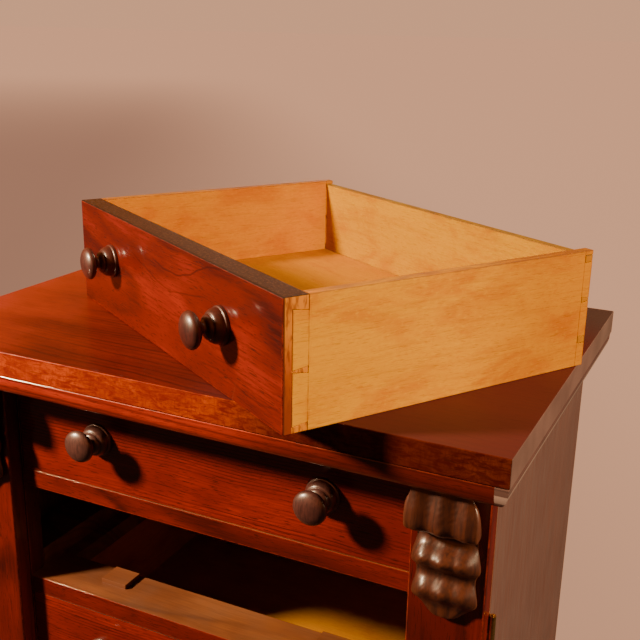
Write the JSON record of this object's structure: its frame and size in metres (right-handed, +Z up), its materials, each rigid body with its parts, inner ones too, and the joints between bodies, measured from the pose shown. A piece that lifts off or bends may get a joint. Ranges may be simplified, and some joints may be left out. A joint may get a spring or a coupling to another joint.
{
  "type": "wellington chest",
  "caption": "Tall narrow chest of dovetailed drawers with turned wooden knobs, moulded top, carved corbels and a hinged locking pilaster; one drawer lies on the top.",
  "frame": {"origin": "bottom centre of the whole, the drawer that lies on the top included", "axes": "+Z up, the drawers' fronts face -Y, +X to the viewer's right"},
  "size_m": [0.603, 0.4857, 1.1138],
  "materials": {
    "mahogany": "french-polished",
    "carved_mahogany": "waxed, dusty",
    "drawer_wood": "bare, honey-coloured",
    "carcase_wood": "bare, aged",
    "knob_wood": "turned and polished",
    "brass": "aged"
  },
  "bodies": {
    "carcase": {"top_board": "mahogany", "moulded_subtop": "mahogany", "side_left": "mahogany", "side_right": "mahogany", "stile_left": "mahogany", "stile_right": "mahogany", "pilaster_left": "mahogany", "plinth": "mahogany", "drawer_frame_1": "carcase_wood", "drawer_frame_2": "carcase_wood", "drawer_frame_3": "carcase_wood", "drawer_frame_4": "carcase_wood", "drawer_frame_5": "carcase_wood", "drawer_frame_6": "carcase_wood", "bottom_board": "carcase_wood", "back_panel": "carcase_wood", "corbel_left": "carved_mahogany", "lock_strike": "brass", "hinge_upper_leaf_fixed": "brass", "hinge_upper_pin": "brass", "hinge_lower_leaf_fixed": "brass", "hinge_lower_pin": "brass"},
    "locking_pilaster": {"locking_pilaster": "mahogany", "corbel_right": "carved_mahogany", "lock_case": "brass", "escutcheon": "brass", "hinge_upper_leaf_swinging": "brass", "hinge_lower_leaf_swinging": "brass"},
    "lock_bolt": {"lock_bolt": "brass"},
    "drawer_1": {"drawer_1_front": "mahogany", "drawer_1_box": "drawer_wood", "drawer_1_knob_left": "knob_wood", "drawer_1_knob_right": "knob_wood"},
    "drawer_2": {"drawer_2_front": "mahogany", "drawer_2_side_left": "drawer_wood", "drawer_2_side_right": "drawer_wood", "drawer_2_back": "drawer_wood", "drawer_2_bottom": "drawer_wood", "drawer_2_knob_left": "knob_wood", "drawer_2_knob_right": "knob_wood"},
    "drawer_3": {"drawer_3_front": "mahogany", "drawer_3_box": "drawer_wood", "drawer_3_knob_left": "knob_wood", "drawer_3_knob_right": "knob_wood"},
    "drawer_4": {"drawer_4_front": "mahogany", "drawer_4_box": "drawer_wood", "drawer_4_knob_left": "knob_wood", "drawer_4_knob_right": "knob_wood"},
    "drawer_5": {"drawer_5_front": "mahogany", "drawer_5_box": "drawer_wood", "drawer_5_knob_left": "knob_wood", "drawer_5_knob_right": "knob_wood"},
    "drawer_6": {"drawer_6_front": "mahogany", "drawer_6_box": "drawer_wood", "drawer_6_knob_left": "knob_wood", "drawer_6_knob_right": "knob_wood"},
    "drawer_7": {"drawer_7_front": "mahogany", "drawer_7_box": "drawer_wood", "drawer_7_knob_left": "knob_wood", "drawer_7_knob_right": "knob_wood"}
  },
  "joints": [
    {"name": "drawer_1_slide", "type": "slide", "parent": "carcase", "child": "drawer_1", "axis": [0, -1, 0], "range_m": [0, 0.26]},
    {"name": "drawer_2_lift", "type": "slide", "parent": "carcase", "child": "drawer_2", "axis": [0, 0, 1], "range_m": [0, 0.25]},
    {"name": "drawer_3_slide", "type": "slide", "parent": "carcase", "child": "drawer_3", "axis": [0, -1, 0], "range_m": [0, 0.26]},
    {"name": "drawer_4_slide", "type": "slide", "parent": "carcase", "child": "drawer_4", "axis": [0, -1, 0], "range_m": [0, 0.26]},
    {"name": "drawer_5_slide", "type": "slide", "parent": "carcase", "child": "drawer_5", "axis": [0, -1, 0], "range_m": [0, 0.26]},
    {"name": "drawer_6_slide", "type": "slide", "parent": "carcase", "child": "drawer_6", "axis": [0, -1, 0], "range_m": [0, 0.26]},
    {"name": "drawer_7_slide", "type": "slide", "parent": "carcase", "child": "drawer_7", "axis": [0, -1, 0], "range_m": [0, 0.26]},
    {"name": "pilaster_hinge", "type": "hinge", "parent": "carcase", "child": "locking_pilaster", "pos_m": [0.27955, -0.14164, 0.5275], "axis": [0, 0, 1], "range_deg": [0, 170]},
    {"name": "lock_bolt_slide", "type": "slide", "parent": "locking_pilaster", "child": "lock_bolt", "axis": [0, 0, 1], "range_m": [0, 0.006]}
  ]
}
